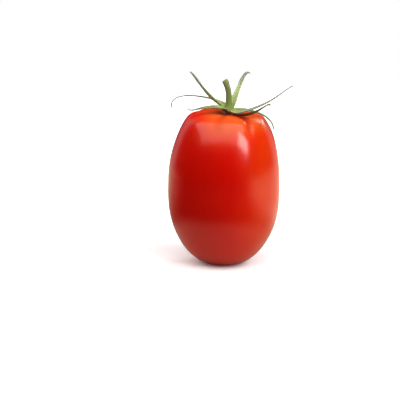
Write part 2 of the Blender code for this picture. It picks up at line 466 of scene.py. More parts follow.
# %% [markdown]
# Each copy of the strap has its rows narrowed to the lance. The blade gets the
# thickness of a living leaf, and its margins ripple: a cloud texture that only the
# margins' vertex group lets through. Last it is bent along its own curve.

# %% Shape and bend the sepals
SEPAL_THICKNESS = 0.65 * MM
TIP_THICKNESS_SHARE = 0.6
RIPPLE_SIZE = 2.6 * MM
RIPPLE_DEPTH = 0.5 * MM

ripples = bpy.data.textures.new("margin_ripples", "CLOUDS")
ripples.noise_scale = RIPPLE_SIZE
ripples.noise_depth = 1


def make_sepal(name, shape):
    *path, length, width, taper = shape
    sepal = bpy.data.objects.new(f"sepal_{name}", strap.data.copy())
    bpy.context.scene.collection.objects.link(sepal)
    take(sepal)
    bpy.ops.object.mode_set(mode="EDIT")
    for row in range(STRAP_ROWS + 1):
        share = row / STRAP_ROWS
        pick(sepal, lambda v: abs(v.co.x - share) < 0.2 / STRAP_ROWS)
        wide = lance(share, width, taper)
        bpy.ops.transform.resize(value=(1, wide, wide), center_override=(share, 0, 0))
    bpy.ops.mesh.select_all(action="SELECT")
    bpy.ops.transform.resize(value=(length, 1, 1), center_override=(0, 0, 0))
    bpy.ops.object.mode_set(mode="OBJECT")
    margin = weigh(sepal, "margin", lambda p: (2 * abs(p.y) / width) ** 2)
    fleshy = weigh(sepal, "fleshy", lambda p: 1 - p.x / length)
    add_modifier(
        sepal,
        "DISPLACE",
        texture=ripples,
        texture_coords="LOCAL",
        vertex_group=margin,
        direction="Z",
        strength=RIPPLE_DEPTH,
        mid_level=0.5,
    )
    add_modifier(
        sepal,
        "SOLIDIFY",
        thickness=SEPAL_THICKNESS,
        offset=0.0,
        vertex_group=fleshy,
        thickness_vertex_group=TIP_THICKNESS_SHARE,
    )
    add_modifier(sepal, "SUBSURF", levels=1, render_levels=1)
    line = draw_line(f"line_{name}", sepal_line(*path, length))
    add_modifier(sepal, "CURVE", object=line, deform_axis="POS_X")
    apply_all(sepal)
    sepal.vertex_groups.clear()
    bpy.data.objects.remove(line)
    finish_piece(sepal, "calyx")
    return sepal


sepals = {name: make_sepal(name, shape) for name, shape in SEPALS.items()}
bpy.data.objects.remove(strap)

# %% [markdown]
# The stalk is a short green stem that broke off at its knuckle. Its rings are listed
# from below the collar up to the broken end, each with its place, radius and tilt.

# %% The stalk's rings
# (x, height above the collar's middle, radius, turn about Y [degrees])
STALK_STATIONS = (
    (0.0 * MM, -2.2 * MM, 1.8 * MM, 0),
    (0.0 * MM, -0.8 * MM, 2.0 * MM, 0),
    (0.0 * MM, 0.7 * MM, 2.3 * MM, 0),
    (-0.1 * MM, 1.7 * MM, 1.85 * MM, 0),
    (-0.1 * MM, 2.8 * MM, 1.60 * MM, 0),
    (-0.05 * MM, 5.2 * MM, 1.42 * MM, 0),
    (-0.1 * MM, 8.6 * MM, 1.40 * MM, -8),
    (-0.6 * MM, 10.6 * MM, 1.42 * MM, -18),
    (-1.2 * MM, 12.4 * MM, 1.48 * MM, -24),
    (-1.8 * MM, 13.7 * MM, 1.50 * MM, -26),
    (-2.05 * MM, 14.4 * MM, 1.30 * MM, -26),
)


def station_place(station):
    x, height, *_ = station
    return CALYX_CENTRE + Vector((x, 0, height))


print("stalk", round(STALK_STATIONS[-1][1] / MM, 1), "mm above the collar's middle")

# %% [markdown]
# The stalk is extruded ring by ring from a circle, as one would by hand: each step
# moves, resizes and turns the last ring. Five ridges are pulled out of the first circle,
# so that every ring carries them. The last ring is drawn in and sunk, as the broken end
# of a stem dries hollow.

# %% Extrude the stalk
STALK_SIDES = 20
RIDGE_EVERY = 4
RIDGE_SHARE = 1.08
CUT_RIM_SHARE = 0.72
CUT_SUNK = (0.15 * MM, 0, -0.2 * MM)

let_go()
bpy.ops.mesh.primitive_circle_add(
    vertices=STALK_SIDES,
    radius=STALK_STATIONS[0][2],
    fill_type="NGON",
    location=station_place(STALK_STATIONS[0]),
)
stalk = name_new("stalk")
bpy.ops.object.transform_apply(location=True)
bpy.ops.object.mode_set(mode="EDIT")
mesh = bmesh.from_edit_mesh(stalk.data)
mesh.verts.ensure_lookup_table()
for vertex in mesh.verts:
    vertex.select = vertex.index % RIDGE_EVERY == 0
mesh.select_flush_mode()
bpy.ops.transform.resize(value=(RIDGE_SHARE, RIDGE_SHARE, 1))
bpy.ops.mesh.select_all(action="SELECT")
for before, after in zip(STALK_STATIONS, STALK_STATIONS[1:]):
    bpy.ops.mesh.extrude_region_move(
        TRANSFORM_OT_translate={"value": station_place(after) - station_place(before)}
    )
    growth = after[2] / before[2]
    bpy.ops.transform.resize(value=(growth, growth, growth))
    bpy.ops.transform.rotate(
        value=math.radians(before[3] - after[3]),
        orient_axis="Y",
        center_override=station_place(after),
    )
bpy.ops.mesh.extrude_region_move()
bpy.ops.transform.resize(value=(CUT_RIM_SHARE,) * 3)
bpy.ops.mesh.extrude_region_move(TRANSFORM_OT_translate={"value": CUT_SUNK})
bpy.ops.transform.resize(value=(CUT_RIM_SHARE,) * 3)
bpy.ops.mesh.select_all(action="SELECT")
bpy.ops.mesh.normals_make_consistent(inside=False)
bpy.ops.object.mode_set(mode="OBJECT")
add_modifier(stalk, "SUBSURF", levels=2, render_levels=2)
apply_all(stalk)
finish_piece(stalk, "calyx")

# %% [markdown]
# Stalk and sepals meet in a low green cushion. A sphere is flattened to its height, and
# the stretches between the sepals are drawn in, so the cushion runs out into each sepal
# as the real one does.

# %% Flatten the collar
COLLAR_RADIUS = 3.6 * MM
COLLAR_THICKNESS = 1.5 * MM
COLLAR_SEGMENTS = 72
NOTCH_SHARE = 0.80

let_go()
bpy.ops.mesh.primitive_uv_sphere_add(
    segments=COLLAR_SEGMENTS, ring_count=16, radius=COLLAR_RADIUS, location=CALYX_CENTRE
)
collar = name_new("collar")
bpy.ops.object.transform_apply(location=True)
bpy.ops.object.mode_set(mode="EDIT")
bpy.ops.mesh.select_all(action="SELECT")
flatness = 0.5 * COLLAR_THICKNESS / COLLAR_RADIUS
bpy.ops.transform.resize(value=(1, 1, flatness), center_override=CALYX_CENTRE)
azimuths = sorted(shape[0] % 360 for shape in SEPALS.values())
for here, there in zip(azimuths, azimuths[1:] + [azimuths[0] + 360]):
    middle = (here + there) / 2
    reach = (there - here) / 5

    def between_sepals(vertex, middle=middle, reach=reach):
        out = vertex.co - CALYX_CENTRE
        angle = math.degrees(math.atan2(out.y, out.x))
        far = math.hypot(out.x, out.y) > 0.5 * COLLAR_RADIUS
        return far and abs((angle - middle + 180) % 360 - 180) < reach

    pick(collar, between_sepals)
    bpy.ops.transform.resize(
        value=(NOTCH_SHARE, NOTCH_SHARE, 1), center_override=CALYX_CENTRE
    )
bpy.ops.mesh.select_all(action="SELECT")
bpy.ops.mesh.vertices_smooth(factor=0.5, repeat=6)
bpy.ops.object.mode_set(mode="OBJECT")
finish_piece(collar, "calyx")

# %% [markdown]
# Fine hairs stand on every young green part of a tomato plant. One is a slim cone with
# three sides; copies of it are stood on random spots of the stalk, the collar and the
# sepals' inner halves, each of its own length and leaning a little its own way. A
# particle system could strew them too, but a seeded choice of faces keeps every one
# where it was.

# %% Stand hairs on the green parts
HAIR_COUNT = 900
HAIR_LENGTH = 0.75 * MM
HAIR_RADIUS = 0.035 * MM
HAIR_MIDDLE = 0.4 * HAIR_LENGTH
HAIR_LEAN = 0.45
MOST_DROOP = -0.4
SHORTEST_SHARE = 0.4
HAIR_REACH = 11 * MM

chance = random.Random(7)
let_go()
bpy.ops.mesh.primitive_cone_add(
    vertices=3,
    radius1=HAIR_RADIUS,
    radius2=0,
    depth=HAIR_LENGTH,
    end_fill_type="NGON",
    location=(0, 0, HAIR_MIDDLE),
)
hair = name_new("one_hair")
bpy.ops.object.transform_apply(location=True)

spots, areas = [], []
for grown in (stalk, collar, *sepals.values()):
    for face in grown.data.polygons:
        out = face.center - CALYX_CENTRE
        if grown is stalk or math.hypot(out.x, out.y) < HAIR_REACH:
            spots.append((face.center.copy(), face.normal.copy()))
            areas.append(face.area)

coat_of_hairs = bmesh.new()
for centre, normal in chance.choices(spots, weights=areas, k=HAIR_COUNT):
    sideways = chance.uniform(-1, 1), chance.uniform(-1, 1)
    lean = Vector((*sideways, chance.uniform(MOST_DROOP, 1)))
    upright = (normal + HAIR_LEAN * lean).normalized()
    stand = upright.to_track_quat("Z", "Y").to_matrix().to_4x4()
    grow = Matrix.Diagonal((1, 1, chance.uniform(SHORTEST_SHARE, 1.0), 1))
    before = len(coat_of_hairs.verts)
    coat_of_hairs.from_mesh(hair.data)
    coat_of_hairs.verts.ensure_lookup_table()
    bmesh.ops.transform(
        coat_of_hairs,
        matrix=Matrix.Translation(centre) @ stand @ grow,
        verts=coat_of_hairs.verts[before:],
    )
hairs_mesh = bpy.data.meshes.new("calyx_hairs")
coat_of_hairs.to_mesh(hairs_mesh)
coat_of_hairs.free()
hairs = bpy.data.objects.new("calyx_hairs", hairs_mesh)
bpy.context.scene.collection.objects.link(hairs)
bpy.data.objects.remove(hair)
finish_piece(hairs, "calyx")

# %% [markdown]
# Colours are chosen as screen hex values, but a shader works in linear light, so one
# function turns them. Another adds a node: its settings, its inputs' values or links,
# and, on a colour ramp, its stops. A Mix node keeps its colour sockets at fixed places.

# %% Helpers for materials
PER_MM = 1 / MM
MIX_FIRST = 6
MIX_SECOND = 7
MIX_RESULT = 2


def linear(hex_code):
    """An sRGB hex colour as linear red, green, blue and alpha."""
    values = []
    for i in (0, 2, 4):
        level = int(hex_code[i : i + 2], 16) / 255
        low = level <= 0.04045
        values.append(level / 12.92 if low else ((level + 0.055) / 1.055) ** 2.4)
    return (*values, 1.0)


def new_material(name):
    material = bpy.data.materials.new(name)
    material.use_nodes = True
    material.node_tree.nodes.clear()
    return material, material.node_tree


def add_node(tree, kind, inputs=None, stops=(), **settings):
    """Adds a node; inputs are plain values, or outputs to link from."""
    node = tree.nodes.new(kind)
    for key, value in settings.items():
        setattr(node, key, value)
    for key, value in (inputs or {}).items():
        if isinstance(value, bpy.types.NodeSocket):
            tree.links.new(value, node.inputs[key])
        else:
            node.inputs[key].default_value = value
    if stops:
        elements = node.color_ramp.elements
        while len(elements) < len(stops):
            elements.new(0.5)
        for element, (position, hex_code) in zip(elements, stops):
            element.position = position
            element.color = linear(hex_code)
    return node


def place_in_mm(tree):
    """The place on the piece, in millimetres, for patterns of a real size."""
    place = add_node(tree, "ShaderNodeTexCoord").outputs["Object"]
    return add_node(
        tree, "ShaderNodeMapping", {"Vector": place, "Scale": (PER_MM,) * 3}
    ).outputs["Vector"]


def dress(piece, material):
    piece.data.materials.clear()
    piece.data.materials.append(material)


# %% [markdown]
# Ripe tomato skin isn't one red. Its riper parts are a deep blood red, while the shoulder
# and the sunny side are more orange. Slow noise makes the blotches, and the height above
# the foot and the way to the sunny side add to it. One colour ramp turns the sum into a
# colour, which is simpler to judge than several mixed colours.

# %% The ripe red (all lengths in millimetres)
BLOTCH_SIZE = 18
BLOTCH_SHARE = 0.3
SHOULDER_FROM = 57.0
SHOULDER_TO = 72.0
SHOULDER_ORANGE = 0.8
SHADED_SIDE = -19.0
LIT_SIDE = -4.0
SUNNY_FROM = 2.0
SUNNY_TO = 20.0
SUNNY_ORANGE = 0.5
RIPE_REDS = ((0.15, "C81002"), (0.55, "CE2E04"), (0.75, "D03E06"), (1.0, "CC5A20"))


def ripe_red(tree, in_mm, blotches):
    apart = add_node(tree, "ShaderNodeSeparateXYZ", {"Vector": in_mm})
    shoulder = add_node(
        tree,
        "ShaderNodeMapRange",
        {
            "Value": apart.outputs["Z"],
            "From Min": SHOULDER_FROM,
            "From Max": SHOULDER_TO,
            "To Max": SHOULDER_ORANGE,
        },
        interpolation_type="SMOOTHSTEP",
    ).outputs["Result"]
    lit = add_node(
        tree,
        "ShaderNodeMapRange",
        {"Value": apart.outputs["X"], "From Min": SHADED_SIDE, "From Max": LIT_SIDE},
        interpolation_type="SMOOTHSTEP",
    ).outputs["Result"]
    lit_shoulder = add_node(
        tree, "ShaderNodeMath", {0: shoulder, 1: lit}, operation="MULTIPLY"
    ).outputs["Value"]
    sunny = add_node(
        tree,
        "ShaderNodeMapRange",
        {
            "Value": apart.outputs["X"],
            "From Min": SUNNY_FROM,
            "From Max": SUNNY_TO,
            "To Max": SUNNY_ORANGE,
        },
        interpolation_type="SMOOTHSTEP",
    ).outputs["Result"]
    orange = add_node(
        tree, "ShaderNodeMath", {0: lit_shoulder, 1: sunny}, operation="MAXIMUM"
    ).outputs["Value"]
    ripeness = add_node(
        tree,
        "ShaderNodeMath",
        {0: blotches, 1: BLOTCH_SHARE, 2: orange},
        operation="MULTIPLY_ADD",
    ).outputs["Value"]
    return add_node(
        tree, "ShaderNodeValToRGB", {"Fac": ripeness}, stops=RIPE_REDS
    ).outputs["Color"]


# %% [markdown]
# Faint streaks run from the stem to the blossom end. For them the place is pushed out
# onto a drum round the fruit and squeezed in height, so that even noise comes out drawn
# long. Under the skin lie fine pale flecks: the middles of a Voronoi pattern's patches.

# %% Streaks and flecks
STREAK_WIDTH = 2.2
STREAK_SQUEEZE = 0.08
STREAK_COLOUR = "E6480A"
FLECK_SPACING = 0.9
FLECK_COLOUR = "EE6420"


def with_streaks(tree, in_mm, red):
    around = add_node(
        tree, "ShaderNodeVectorMath", {0: in_mm, 1: (1, 1, 0)}, operation="MULTIPLY"
    ).outputs["Vector"]
    unit = add_node(
        tree, "ShaderNodeVectorMath", {0: around}, operation="NORMALIZE"
    ).outputs["Vector"]
    girth = FRUIT_RADIUS * PER_MM
    on_drum = add_node(
        tree,
        "ShaderNodeVectorMath",
        {0: unit, 1: (girth,) * 3, 2: in_mm},
        operation="MULTIPLY_ADD",
    ).outputs["Vector"]
    drawn_out = add_node(
        tree, "ShaderNodeMapping", {"Vector": on_drum, "Scale": (1, 1, STREAK_SQUEEZE)}
    ).outputs["Vector"]
    streaks = add_node(
        tree,
        "ShaderNodeTexNoise",
        {"Vector": drawn_out, "Scale": 1 / STREAK_WIDTH, "Detail": 3.0},
    ).outputs["Fac"]
    in_streak = add_node(
        tree, "ShaderNodeValToRGB", {"Fac": streaks}, stops=((0.45, "000000"), (0.8, "303030"))
    ).outputs["Color"]
    return add_node(
        tree,
        "ShaderNodeMix",
        {"Factor": in_streak, MIX_FIRST: red, MIX_SECOND: linear(STREAK_COLOUR)},
        data_type="RGBA",
    ).outputs[MIX_RESULT]


def with_flecks(tree, in_mm, red):
    flecks = add_node(
        tree,
        "ShaderNodeTexVoronoi",
        {"Vector": in_mm, "Scale": 1 / FLECK_SPACING},
        feature="F1",
    ).outputs["Distance"]
    in_fleck = add_node(
        tree, "ShaderNodeValToRGB", {"Fac": flecks}, stops=((0.02, "404040"), (0.16, "000000"))
    ).outputs["Color"]
    return add_node(
        tree,
        "ShaderNodeMix",
        {"Factor": in_fleck, MIX_FIRST: red, MIX_SECOND: linear(FLECK_COLOUR)},
        data_type="RGBA",
    ).outputs[MIX_RESULT]


# %% [markdown]
# In the creases the red is deeper, partly the fruit's own pigment and partly painted shade.
# Round the stem the skin is painted brown, partly a corky ring and partly the calyx's
# shade painted in, and a small dry scar marks the blossom end. The creases' weights ride
# along in the mesh as an attribute, and the other two are distances from a point.

# %% Creases and cork with painted shade, and the scar
# Painted shade: the creases' deeper red is partly pigment and partly shade painted into the
# colour.
CREASE_PIGMENT_AND_SHADE_COLOUR = "A80C02"
STEM_PLACE = (2.2, 0, FRUIT_HEIGHT * PER_MM)
# Painted shade: the brown round the stem is partly a corky ring and partly the calyx's shade
# painted into the skin.
CORK_AND_SHADE_EDGE = 12.0
CORK_AND_SHADE_FULL = 4.0
CORK_AND_SHADE_COLOURS = ((0.3, "9A1404"), (1.0, "5A2A10"))
SCAR_EDGE = 4.0
SCAR_COLOUR = "8A6238"


# Darkens the creases: partly pigment, partly painted shade.
def with_crease_pigment_and_shade(tree, crease, red):
    deep = add_node(
        tree, "ShaderNodeValToRGB", {"Fac": crease}, stops=((0.15, "000000"), (0.9, "C8C8C8"))
    ).outputs["Color"]
    return add_node(
        tree,
        "ShaderNodeMix",
        {"Factor": deep, MIX_FIRST: red, MIX_SECOND: linear(CREASE_PIGMENT_AND_SHADE_COLOUR)},
        data_type="RGBA",
    ).outputs[MIX_RESULT]


# Paints the brown round the stem: partly cork, partly the calyx's painted shade.
def with_cork_and_shade(tree, in_mm, red):
    from_stem = add_node(
        tree, "ShaderNodeVectorMath", {0: in_mm, 1: STEM_PLACE}, operation="DISTANCE"
    ).outputs["Value"]
    near_stem = add_node(
        tree,
        "ShaderNodeMapRange",
        {"Value": from_stem, "From Min": CORK_AND_SHADE_EDGE, "From Max": CORK_AND_SHADE_FULL},
    ).outputs["Result"]
    corky_and_shaded = add_node(
        tree, "ShaderNodeValToRGB", {"Fac": near_stem}, stops=((0.0, "000000"), (1.0, "D0D0D0"))
    ).outputs["Color"]
    cork_and_shade = add_node(
        tree, "ShaderNodeValToRGB", {"Fac": near_stem}, stops=CORK_AND_SHADE_COLOURS
    ).outputs["Color"]
    return add_node(
        tree,
        "ShaderNodeMix",
        {"Factor": corky_and_shaded, MIX_FIRST: red, MIX_SECOND: cork_and_shade},
        data_type="RGBA",
    ).outputs[MIX_RESULT]


def with_scar(tree, in_mm, red):
    from_foot = add_node(
        tree, "ShaderNodeVectorMath", {0: in_mm, 1: (0, 0, 0)}, operation="DISTANCE"
    ).outputs["Value"]
    outwards = add_node(
        tree, "ShaderNodeMapRange", {"Value": from_foot, "From Max": SCAR_EDGE}
    ).outputs["Result"]
    scar = add_node(
        tree, "ShaderNodeValToRGB", {"Fac": outwards}, stops=((0.25, "FFFFFF"), (0.45, "000000"))
    ).outputs["Color"]
    return add_node(
        tree,
        "ShaderNodeMix",
        {"Factor": scar, MIX_FIRST: red, MIX_SECOND: linear(SCAR_COLOUR)},
        data_type="RGBA",
    ).outputs[MIX_RESULT]


print("cork_and_shade", CORK_AND_SHADE_EDGE, "mm and scar", SCAR_EDGE, "mm in reach")

# %% [markdown]
# The skin is a thin clear cuticle over flesh. Light goes some millimetres in and comes
# back redder, so the shader scatters it under the surface. The wax on the cuticle is a
# coat over that, and it gives nearly all the gloss. It is duller on top of the fruit and
# nearly gone in the creases. A faint orange-peel bump breaks the gloss a little.

# %% Waxed tomato skin
PEEL_SIZE = 0.5
PEEL_HEIGHT = 0.05 * MM
SCATTER_DEPTH = 2.5 * MM
DULL_FROM = 71.0
DULL_TO = 73.6


def wax(tree, in_mm, crease):
    """How much wax there is, and how rough it is."""
    up = add_node(tree, "ShaderNodeSeparateXYZ", {"Vector": in_mm}).outputs["Z"]
    dull = add_node(
        tree,
        "ShaderNodeMapRange",
        {"Value": up, "From Min": DULL_FROM, "From Max": DULL_TO},
        interpolation_type="SMOOTHSTEP",
    ).outputs["Result"]
    on_side = add_node(
        tree, "ShaderNodeMapRange", {"Value": dull, "To Min": 1.0, "To Max": 0.2}
    ).outputs["Result"]
    out_of_crease = add_node(
        tree, "ShaderNodeMapRange", {"Value": crease, "To Min": 1.0, "To Max": 0.15}
    ).outputs["Result"]
    waxed = add_node(
        tree, "ShaderNodeMath", {0: on_side, 1: out_of_crease}, operation="MULTIPLY"
    ).outputs["Value"]
    roughness = add_node(
        tree, "ShaderNodeMapRange", {"Value": dull, "To Min": 0.19, "To Max": 0.42}
    ).outputs["Result"]
    return waxed, roughness


def make_skin_material():
    material, tree = new_material("ripe_tomato_skin")
    in_mm = place_in_mm(tree)
    crease = add_node(tree, "ShaderNodeAttribute", attribute_name="in_crease").outputs["Fac"]
    blotches = add_node(
        tree,
        "ShaderNodeTexNoise",
        {"Vector": in_mm, "Scale": 1 / BLOTCH_SIZE, "Detail": 2.0, "Roughness": 0.5},
    ).outputs["Fac"]
    red = ripe_red(tree, in_mm, blotches)
    red = with_flecks(tree, in_mm, with_streaks(tree, in_mm, red))
    red = with_cork_and_shade(tree, in_mm, with_crease_pigment_and_shade(tree, crease, red))
    red = with_scar(tree, in_mm, red)
    peel = add_node(
        tree,
        "ShaderNodeTexNoise",
        {"Vector": in_mm, "Scale": 1 / PEEL_SIZE, "Detail": 2.0},
    ).outputs["Fac"]
    bump = add_node(
        tree, "ShaderNodeBump", {"Height": peel, "Strength": 0.12, "Distance": PEEL_HEIGHT}
    ).outputs["Normal"]
    shine = add_node(
        tree, "ShaderNodeMapRange", {"Value": blotches, "To Min": 0.34, "To Max": 0.44}
    ).outputs["Result"]
    waxed, wax_roughness = wax(tree, in_mm, crease)
    shader = add_node(
        tree,
        "ShaderNodeBsdfPrincipled",
        {
            "Base Color": red,
            "Roughness": shine,
            "IOR": 1.45,
            "Subsurface Weight": 0.2,
            "Subsurface Radius": (1.0, 0.12, 0.04),
            "Subsurface Scale": SCATTER_DEPTH,
            "Specular IOR Level": 0.04,
            "Coat Weight": waxed,
            "Coat Roughness": wax_roughness,
            "Coat IOR": 1.5,
            "Normal": bump,
        },
    )
    add_node(tree, "ShaderNodeOutputMaterial", {"Surface": shader.outputs["BSDF"]})
    return material


dress(skin, make_skin_material())
print("skin dressed: streaks", STREAK_WIDTH, "mm wide, flecks", FLECK_SPACING, "mm apart")

# %% [markdown]
# A sepal is living leaf: yellowish green where it leaves the collar, paler along its
# midrib, and dried to grey at the tip. The blade's own UV map runs from root to tip and
# from margin to margin, so the change of colour follows every bend.

# %% Sepal leaf
CELL_SIZE = 0.35
CELL_HEIGHT = 0.06 * MM
PATCH_SIZE = 3
PATCH_SHARE = 0.3
LEAF_SCATTER_DEPTH = 1.2 * MM


def leaf_colour(tree, cells, patches, stops, rib_colour, shade_colour):
    on_blade = add_node(tree, "ShaderNodeTexCoord").outputs["UV"]
    along = add_node(tree, "ShaderNodeSeparateXYZ", {"Vector": on_blade})
    dryness = add_node(
        tree,
        "ShaderNodeMath",
        {0: patches, 1: PATCH_SHARE, 2: along.outputs["X"]},
        operation="MULTIPLY_ADD",
    ).outputs["Value"]
    leaf = add_node(
        tree, "ShaderNodeValToRGB", {"Fac": dryness}, stops=stops
    ).outputs["Color"]
    from_rib = add_node(
        tree, "ShaderNodeMath", {0: along.outputs["Y"], 1: 0.5}, operation="SUBTRACT"
    ).outputs["Value"]
    beside = add_node(
        tree, "ShaderNodeMath", {0: from_rib}, operation="ABSOLUTE"
    ).outputs["Value"]
    rib = add_node(
        tree, "ShaderNodeValToRGB", {"Fac": beside}, stops=((0.02, "707070"), (0.12, "000000"))
    ).outputs["Color"]
    ribbed = add_node(
        tree,
        "ShaderNodeMix",
        {"Factor": rib, MIX_FIRST: leaf, MIX_SECOND: linear(rib_colour)},
        data_type="RGBA",
    ).outputs[MIX_RESULT]
    shade = add_node(
        tree, "ShaderNodeValToRGB", {"Fac": cells}, stops=((0.4, "000000"), (0.7, "505050"))
    ).outputs["Color"]
    return add_node(
        tree,
        "ShaderNodeMix",
        {"Factor": shade, MIX_FIRST: ribbed, MIX_SECOND: linear(shade_colour)},
        data_type="RGBA",
    ).outputs[MIX_RESULT]


def make_leaf_material(name, colours):
    material, tree = new_material(name)
    in_mm = place_in_mm(tree)
    cells = add_node(
        tree,
        "ShaderNodeTexNoise",
        {"Vector": in_mm, "Scale": 1 / CELL_SIZE, "Detail": 3.0},
    ).outputs["Fac"]
    patches = add_node(
        tree,
        "ShaderNodeTexNoise",
        {"Vector": in_mm, "Scale": 1 / PATCH_SIZE, "Detail": 2.0},
    ).outputs["Fac"]
    bump = add_node(
        tree, "ShaderNodeBump", {"Height": cells, "Strength": 0.4, "Distance": CELL_HEIGHT}
    ).outputs["Normal"]
    shader = add_node(
        tree,
        "ShaderNodeBsdfPrincipled",
        {
            "Base Color": leaf_colour(tree, cells, patches, *colours),
            "Roughness": 0.62,
            "IOR": 1.4,
            "Subsurface Weight": 0.7,
            "Subsurface Radius": (0.5, 1.0, 0.4),
            "Subsurface Scale": LEAF_SCATTER_DEPTH,
            "Sheen Weight": 0.15,
            "Sheen Roughness": 0.4,
            "Normal": bump,
        },
    )
    add_node(tree, "ShaderNodeOutputMaterial", {"Surface": shader.outputs["BSDF"]})
    return material


# %% [markdown]
# No two sepals have dried alike, and some finishes also hold painted light: the shaded
# one is a darker copy, the pale one a lighter copy, and the left sepal's greens are
# lightened so that its shaded underside looks lit. Each finish lists its greens from root
# to tip, then the midrib's colour and that of the darker cells. The front sepal, which
# lies on the fruit in its neighbour's shadow, has that shade painted in as brown.

# %% Leaf finishes
LEAF_COLOURS = {
    "fresh_leaf": (
        ((0.15, "8C9A54"), (0.4, "8A9064"), (0.6, "7C7E74"), (1.0, "84847E")),
        "B9C47E",
        "5F6E34",
    ),
    # Painted shade: a darker copy of the green, for sepals seen from their shaded side.
    "shaded_leaf": (
        ((0.15, "8C9C56"), (0.45, "828A58"), (0.9, "787A68"), (1.1, "8A8A7C")),
        "A6B07C",
        "66703C",
    ),
    # Painted light: a lighter copy of the green, for the lit sepal that stands up at the back
    # right.
    "painted_lit_leaf": (
        ((0.15, "A3B06C"), (0.6, "AEB78C"), (0.9, "8F9482"), (1.1, "74756C")),
        "C4CC9C",
        "7C8A50",
    ),
    # Painted shade: the front sepal lies in its neighbour's shadow, and that shade and the red
    # thrown up from the skin are painted in as brown.
    "painted_shade_leaf": (
        ((0.15, "5A2A0C"), (0.6, "703814"), (0.75, "6A5A30"), (0.95, "66684C"), (1.15, "8C8C7C")),
        "7E5626",
        "3A1C08",
    ),
    # Painted light: the left sepal's greens are lightened so that its shaded underside looks lit.
    "painted_fill_leaf": (
        ((0.15, "8EAE62"), (0.45, "98AC80"), (0.8, "A0AA96"), (1.1, "A8AAA0")),
        "C0C8A0",
        "84905C",
    ),
    "dry_leaf": (
        ((0.15, "8C9A54"), (0.35, "949C6C"), (0.5, "94968A"), (0.8, "96968E")),
        "B9C47E",
        "7C8460",
    ),
}
LEAF_OF = {
    "right": "shaded_leaf",
    "back_right": "painted_lit_leaf",
    "back": "fresh_leaf",
    "left": "painted_fill_leaf",
    "front_left": "shaded_leaf",
    "front": "painted_shade_leaf",
    "front_right": "dry_leaf",
}

leaves = {name: make_leaf_material(name, colours) for name, colours in LEAF_COLOURS.items()}
for name, leaf in LEAF_OF.items():
    dress(sepals[name], leaves[leaf])
print(len(leaves), "leaf finishes on", len(sepals), "sepals")

# %% [markdown]
# The stalk and the collar are a stem's skin: brighter green at the foot, where it is
# young, olive further up, with fine fibres along it. The broken end has dried brown.

# %% Stalk green
STALK_LENGTH = 14.5
FIBRES_PER_MM = 2.2
FIBRE_SQUEEZE = 0.15
FIBRE_HEIGHT = 0.1 * MM
FIBRE_COLOUR = "5C6A30"
STALK_SCATTER_DEPTH = 0.5 * MM
STALK_GREENS = (
    (0.0, "768A38"),
    (0.2, "758442"),
    (0.6, "7C8652"),
    (0.93, "8A9062"),
    (1.0, "8C8A60"),
)


def make_stalk_material():
    material, tree = new_material("stalk_green")
    in_mm = place_in_mm(tree)
    up = add_node(tree, "ShaderNodeSeparateXYZ", {"Vector": in_mm}).outputs["Z"]
    foot = CALYX_CENTRE.z * PER_MM
    height = add_node(
        tree,
        "ShaderNodeMapRange",
        {"Value": up, "From Min": foot, "From Max": foot + STALK_LENGTH},
    ).outputs["Result"]
    green = add_node(
        tree, "ShaderNodeValToRGB", {"Fac": height}, stops=STALK_GREENS
    ).outputs["Color"]
    drawn_out = add_node(
        tree, "ShaderNodeMapping", {"Vector": in_mm, "Scale": (1, 1, FIBRE_SQUEEZE)}
    ).outputs["Vector"]
    fibres = add_node(
        tree,
        "ShaderNodeTexNoise",
        {"Vector": drawn_out, "Scale": FIBRES_PER_MM, "Detail": 3.0},
    ).outputs["Fac"]
    in_fibre = add_node(
        tree, "ShaderNodeValToRGB", {"Fac": fibres}, stops=((0.4, "000000"), (0.7, "606060"))
    ).outputs["Color"]
    fibred = add_node(
        tree,
        "ShaderNodeMix",
        {"Factor": in_fibre, MIX_FIRST: green, MIX_SECOND: linear(FIBRE_COLOUR)},
        data_type="RGBA",
    ).outputs[MIX_RESULT]
    bump = add_node(
        tree, "ShaderNodeBump", {"Height": fibres, "Strength": 0.5, "Distance": FIBRE_HEIGHT}
    ).outputs["Normal"]
    shader = add_node(
        tree,
        "ShaderNodeBsdfPrincipled",
        {
            "Base Color": fibred,
            "Roughness": 0.55,
            "IOR": 1.42,
            "Subsurface Weight": 0.15,
            "Subsurface Radius": (0.6, 1.0, 0.2),
            "Subsurface Scale": STALK_SCATTER_DEPTH,
            "Sheen Weight": 0.15,
            "Sheen Roughness": 0.4,
            "Normal": bump,
        },
    )
    add_node(tree, "ShaderNodeOutputMaterial", {"Surface": shader.outputs["BSDF"]})
    return material


stalk_green = make_stalk_material()
dress(stalk, stalk_green)
dress(collar, stalk_green)
print("stalk green over", STALK_LENGTH, "mm of height")

# %% [markdown]
# The hairs are clear and colourless, and together they give the green a pale bloom.

# %% Pale hairs
pale_hair, tree = new_material("pale_hair")
shader = add_node(
    tree,
    "ShaderNodeBsdfPrincipled",
    {"Base Color": linear("C9D0A8"), "Roughness": 0.5, "IOR": 1.4},
)
add_node(tree, "ShaderNodeOutputMaterial", {"Surface": shader.outputs["BSDF"]})
dress(hairs, pale_hair)
print(HAIR_COUNT, "pale hairs")

# %% [markdown]
# The fruit stands on a round white table, and past its edge the camera sees plain white.
# Only the camera sees the table that bright, and near the foot it glows less, so that the
# fruit's shadow shows. To the fruit the table is dim in front, as in a dark studio, and a
# warm white behind, on the right and close round the foot. That keeps the fruit's front a
# deep red, and gives both sides the pale rim and the underside the soft light of a glossy
# thing that stands on white.

# %% The table
TABLE_RADIUS = 0.56
BACK_RIGHT = (0.7, 0.7, 0)
BEHIND_SHARE = 0.4
BEHIND_SOFTNESS = 0.08
CLOSE_TO_FOOT = 0.045
OFF_FOOT = 0.085
FOOT_SHARE = 0.7
DIM_TO_WARM_WHITE = ((0.0, "1E1C1A"), (1.0, "E0D6BE"))
CAMERA_WHITE = "F4F4F4"
SHADOW_REACH = 0.08
GLOW_REACH = 0.3
NEAR_GLOW = 0.12
FAR_GLOW = 1.0

